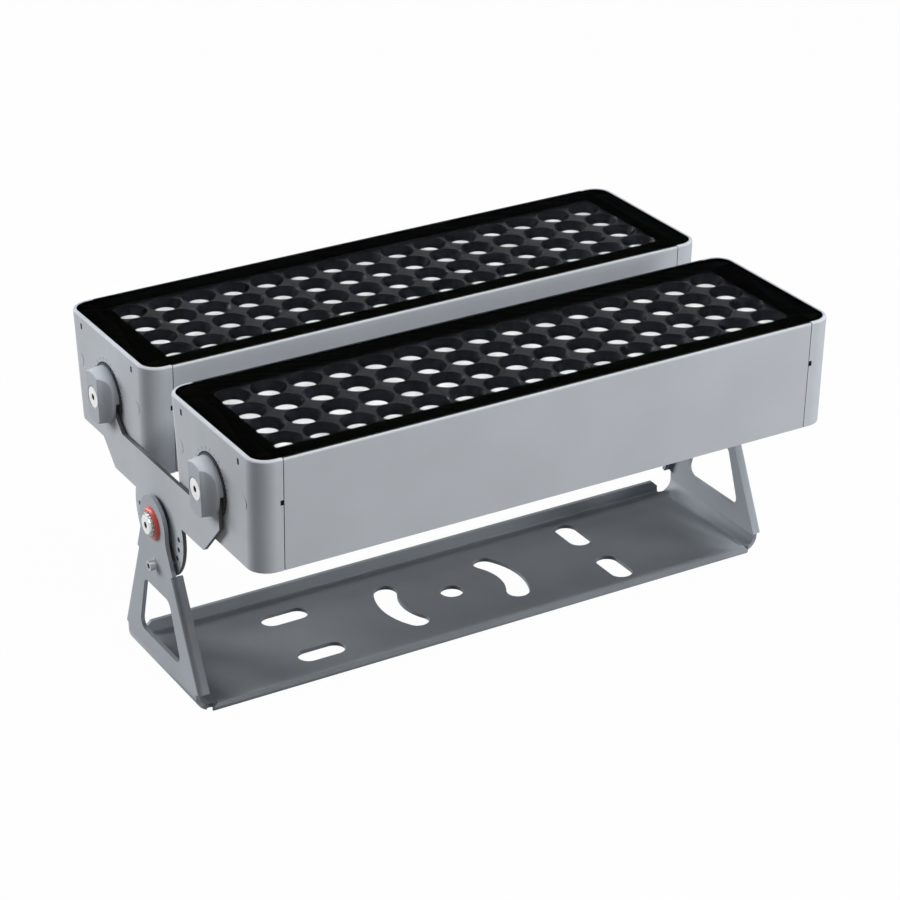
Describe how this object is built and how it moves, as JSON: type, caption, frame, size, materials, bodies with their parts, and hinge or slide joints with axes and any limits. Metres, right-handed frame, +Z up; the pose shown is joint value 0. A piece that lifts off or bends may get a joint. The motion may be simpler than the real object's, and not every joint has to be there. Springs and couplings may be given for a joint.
{
  "type": "led floodlight",
  "caption": "Outdoor floodlight: long lamps with grids of lens cups, each on clamping knobs, on a tilting yoke over a folded steel bracket with fixing slots.",
  "frame": {"origin": "middle of the bracket's underside", "axes": "+Z up, +X along the lamps, -Y towards the front lamp"},
  "size_m": [0.6374, 0.4068, 0.3045],
  "materials": {
    "bracket_paint": "powder coated grey, satin",
    "arm_paint": "powder coated grey, satin",
    "body_aluminium": "extruded, silver grey coat",
    "cap_paint": "cast, powder coated grey, satin",
    "knob_paint": "cast, powder coated grey, satin",
    "pane_glass": "toughened, polished",
    "black_print": "fired black print",
    "cup_black": "moulded, gloss black",
    "lens_white": "moulded lens",
    "board_white": "white solder mask",
    "screw_steel": "stainless steel",
    "dark_steel": "blackened spring steel",
    "red_plastic": "moulded red insulator",
    "seal_rubber": "black silicone",
    "driver_case": "bare aluminium case",
    "gland_plastic": "moulded black nylon"
  },
  "bodies": {
    "bracket": {"base_bracket": "bracket_paint", "pivot_bolts": "screw_steel", "pivot_collars": "red_plastic", "pivot_washers": "dark_steel", "pivot_spacers": "dark_steel", "pivot_nuts": "screw_steel", "lock_screws": "screw_steel"},
    "yoke": {"left_arm": "arm_paint", "right_arm": "arm_paint", "front_left_knob": "knob_paint", "front_right_knob": "knob_paint", "rear_left_knob": "knob_paint", "rear_right_knob": "knob_paint", "knob_screws": "screw_steel"},
    "front_lamp": {"front_housing": "body_aluminium", "front_left_cap": "cap_paint", "front_right_cap": "cap_paint", "front_cap_gaskets": "seal_rubber", "front_glass_gasket": "seal_rubber", "front_border_mask": "black_print", "front_glass": "pane_glass", "front_lens_plates": "cup_black", "front_lenses": "lens_white", "front_led_boards": "board_white", "front_driver": "driver_case", "front_toothed_rings": "knob_paint", "front_cap_screws": "screw_steel", "front_cap_plugs": "cap_paint", "front_cable_gland": "gland_plastic", "front_vent_plug": "gland_plastic"},
    "rear_lamp": {"rear_housing": "body_aluminium", "rear_left_cap": "cap_paint", "rear_right_cap": "cap_paint", "rear_cap_gaskets": "seal_rubber", "rear_glass_gasket": "seal_rubber", "rear_border_mask": "black_print", "rear_glass": "pane_glass", "rear_lens_plates": "cup_black", "rear_lenses": "lens_white", "rear_led_boards": "board_white", "rear_driver": "driver_case", "rear_toothed_rings": "knob_paint", "rear_cap_screws": "screw_steel", "rear_cap_plugs": "cap_paint", "rear_cable_gland": "gland_plastic", "rear_vent_plug": "gland_plastic"}
  },
  "joints": [
    {"name": "yoke_tilt", "type": "hinge", "parent": "bracket", "child": "yoke", "pos_m": [0, 0, 0.1635], "axis": [1, 0, 0], "range_deg": [-55, 55]},
    {"name": "front_lamp_tilt", "type": "hinge", "parent": "yoke", "child": "front_lamp", "pos_m": [0, -0.1115, 0.2475], "axis": [1, 0, 0], "range_deg": [-90, 90]},
    {"name": "rear_lamp_tilt", "type": "hinge", "parent": "yoke", "child": "rear_lamp", "pos_m": [0, 0.1115, 0.2475], "axis": [1, 0, 0], "range_deg": [-90, 90]}
  ]
}
